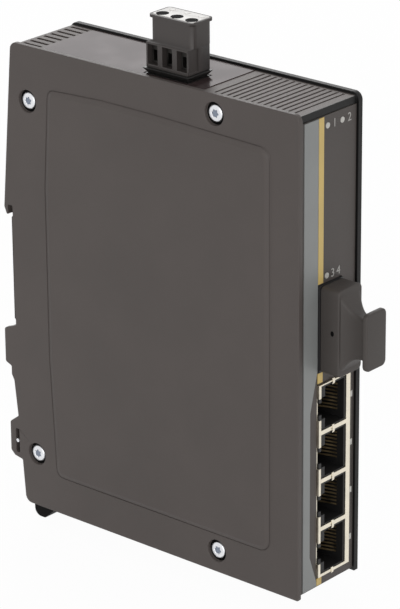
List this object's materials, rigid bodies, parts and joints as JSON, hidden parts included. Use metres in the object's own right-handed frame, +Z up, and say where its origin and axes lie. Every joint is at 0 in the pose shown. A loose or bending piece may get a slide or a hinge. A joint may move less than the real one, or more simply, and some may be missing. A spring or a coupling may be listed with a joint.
{
  "type": "din rail ethernet switch",
  "caption": "Slim DIN rail Ethernet switch with a capped fibre port, a row of jacks, a pluggable supply terminal, vents and a sprung rail latch.",
  "frame": {"origin": "middle of the flat seat that rests on the rail, at the rail's centre line", "axes": "+X across the housing, to the right seen from the ports; +Y from the ports out of the back, into the rail; +Z up"},
  "size_m": [0.0268, 0.1218, 0.1578],
  "materials": {
    "housing": "fine moulded texture",
    "front": "fine moulded texture",
    "label": "silver-grey printed film",
    "accent": "yellow printed film",
    "top_label": "light grey film",
    "steel": "zinc-plated steel",
    "shield": "nickel-plated sheet",
    "insert": "black moulded nylon",
    "gold": "gold-plated",
    "transceiver": "dark moulded plastic",
    "ceramic": "white ceramic",
    "rubber": "soft matte",
    "clear": "milky clear light pipe",
    "led": "clear resin",
    "board": "green solder mask",
    "chip": "black epoxy",
    "pad": "soft grey pad",
    "heatsink": "extruded aluminium",
    "magnetics": "black epoxy",
    "can": "sleeved aluminium can",
    "ferrite": "ferrite and resin",
    "tape": "yellow winding tape",
    "header": "black moulded nylon",
    "plug": "dark moulded nylon",
    "marker": "white marker plate",
    "latch": "black moulded nylon",
    "spring": "spring steel wire"
  },
  "bodies": {
    "housing": {"base_shell": "housing", "left_cover": "housing", "front_plate": "front", "label_strip": "label", "accent_line": "accent", "top_label": "top_label", "cover_screws": "steel", "board_screws": "steel", "jack_shield": "shield", "jack_insert": "insert", "jack_contacts": "gold", "fibre_transceiver": "transceiver", "ferrule_sleeves": "ceramic", "dust_cap": "rubber", "light_pipes": "clear", "status_leds": "led", "circuit_board": "board", "switch_chip": "chip", "thermal_pad": "pad", "heat_sink": "heatsink", "port_magnetics": "magnetics", "filter_capacitors": "can", "power_inductor": "ferrite", "power_transformer": "tape", "clock_crystal": "steel", "driver_chip": "chip", "header_collar": "header", "power_header": "header", "header_pins": "steel", "terminal_plug": "plug", "terminal_marker": "marker", "clamp_screws": "steel", "clamp_cages": "steel", "latch_spring": "spring"},
    "latch": {"rail_latch": "latch", "latch_pin": "steel"}
  },
  "joints": [
    {"name": "latch_slide", "type": "slide", "parent": "housing", "child": "latch", "axis": [0, 0, -1], "range_m": [0, 0.003], "stiffness_N_per_m": 1500, "springref_m": -0.004, "deforming": ["latch_spring"]}
  ]
}
